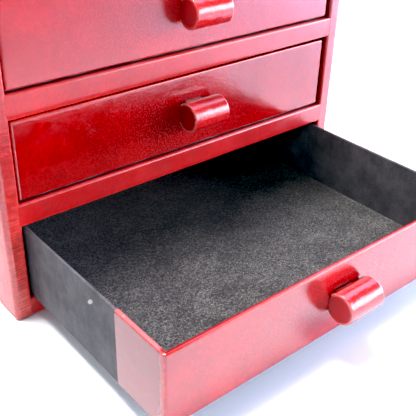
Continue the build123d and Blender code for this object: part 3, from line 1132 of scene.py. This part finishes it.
# %% [markdown]
# ## Finishes for the boards
# The CAD nodes that stay in view already have their shape, so they only need a finish. A node's name says
# what it is, so a few endings sort them all: the boards of a drawer are papered, the floor of a bay is
# card, and what is left is stained wood. The nodes that a sheet stands for get a finish as well, though
# they are not shown.

# %% Give the CAD nodes their finishes
def finish_for(node):
    """The finish of a CAD node, from its name."""
    if "_drawer_" in node and node.endswith(("wall", "floor_board", "front_board")):
        return paper
    if node.endswith("lining"):
        return card
    if node.endswith("screw"):
        return steel
    if node.endswith("felt"):
        return felt
    if "leather" in node:
        return cover_leather
    if "discs" in node:
        return disc_leather
    return wood_upright if node.endswith(("side_board", "back_board")) else wood_across


for name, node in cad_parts.items():
    node.data.materials.clear()
    node.data.materials.append(finish_for(name))
print("finished", len(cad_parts), "nodes")

# %% [markdown]
# ## The studio
# The floor is a plain white table, just below the felt. Glossy leather shows its surroundings more than
# its own red, so the studio is built from what the gloss mirrors: a soft lamp above, a window in front
# and one at the right, a small one at the left, and pale walls and ceilings, all as area lamps. One
# picture of a room would light the chest as well, but lamps can be aimed and named. A spread below 180
# degrees narrows a lamp's beam like a honeycomb in front of it, so a wall can shine in the drawer fronts
# without lighting the rest.

# %% Floor
table_half, table_drop = 6.0, 0.1 * mm
table_cloud = 0.4


def flat_square(name, half, height):
    """A square sheet at a height, facing up."""
    mesh = bpy.data.meshes.new(name)
    corners = [(-half, -half, height), (half, -half, height), (half, half, height), (-half, half, height)]
    mesh.from_pydata(corners, [], [(0, 1, 2, 3)])
    made = bpy.data.objects.new(name, mesh)
    bpy.context.scene.collection.objects.link(made)
    return made


table = flat_square("white_table", table_half, -table_drop)
table_finish, table_place = new_finish("white table", roughness=0.6, specular_ior_level=0.2)
table_noise = noise(table_place, table_cloud, 2.0)
table_shade = table_noise.mix(colour(0.89, 0.90, 0.97), colour(0.91, 0.92, 0.98))
table.data.materials.append(wire_up(table_finish, base_color=table_shade))


# %% Lights
def soft_light(name, place, aim, size, watts, tint=(1.0, 1.0, 1.0), spread=180):
    """A rectangular lamp at a place, turned towards an aim point; its spread is in degrees."""
    lamp = bpy.data.lights.new(name, "AREA")
    lamp.shape = "RECTANGLE"
    lamp.size, lamp.size_y = size
    lamp.energy = watts
    lamp.color = tint
    lamp.spread = math.radians(spread)
    made = bpy.data.objects.new(name, lamp)
    made.location = place
    made.rotation_euler = (Vector(aim) - Vector(place)).to_track_quat("-Z", "Y").to_euler()
    bpy.context.scene.collection.objects.link(made)
    print(name, "gives", watts, "W")
    return made


daylight, pale_blue, sea_blue = (0.60, 0.67, 1.0), (0.86, 0.90, 1.0), (0.5, 0.9, 1.0)
table_aim, wall_aim, ceiling_aim = (0.66, -0.47, 0.0), (0, -0.10, 0.12), (-0.11, -0.18, 0.05)
soft_light("lamp above", (-0.16, 0.10, 1.25), (0.03, -0.10, 0.05), (0.45, 0.45), 2.95, spread=44)
soft_light("daylight on the table", (0.70, -0.45, 1.3), table_aim, (0.3, 0.3), 2.8, daylight, spread=36)
soft_light("window in front", (0.74, -0.80, 0.45), (0, -0.10, 0.08), (0.36, 0.36), 1.4, daylight)
soft_light("window at the right", (1.0, -0.30, 0.18), (0, 0, 0.05), (0.7, 0.24), 15, daylight, spread=120)
soft_light("pale wall in front", (1.15, -1.10, 0.42), wall_aim, (1.3, 0.8), 4.3, pale_blue, spread=60)
soft_light("pale wall at the left", (-0.40, -1.40, 0.30), (-0.05, -0.10, 0.10), (0.8, 0.4), 1.15, spread=80)
soft_light("small window", (-0.90, -0.50, 0.50), (0.11, -0.15, 0.04), (0.2, 0.2), 0.042, sea_blue, spread=18)
soft_light("bright ceiling", (0.95, 0.10, 1.25), (0, -0.10, 0.05), (0.9, 0.9), 11, daylight)
soft_light("pale ceiling behind", (-0.10, 0.60, 1.00), ceiling_aim, (0.8, 0.6), 0.55, daylight, spread=60)
soft_light("pale wall behind", (-1.0, 0.62, 0.60), (-0.1, -0.10, 0.08), (1.5, 1.1), 9)

# %% [markdown]
# ## The room and the picture's tones
# The world gives a little even light from all round, so no shadow is quite black. The Standard view keeps
# colours as they are worked out, and a small black level in the curves darkens the deepest tones as a
# camera does.

# %% Room and view
room_tint, room_strength = (0.92, 0.96, 1.0, 1.0), 0.2
black_level = 0.014

world = bpy.data.worlds.new("room")
bpy.context.scene.world = world
world.use_nodes = True
background = world.node_tree.nodes["Background"]
background.inputs["Color"].default_value = room_tint
background.inputs["Strength"].default_value = room_strength
view = bpy.context.scene.view_settings
view.view_transform = "Standard"
view.look = "None"
view.exposure = 0.0
view.use_curve_mapping = True
view.curve_mapping.black_level = (black_level, black_level, black_level)
print("room strength", room_strength, "and black level", black_level)

# %% [markdown]
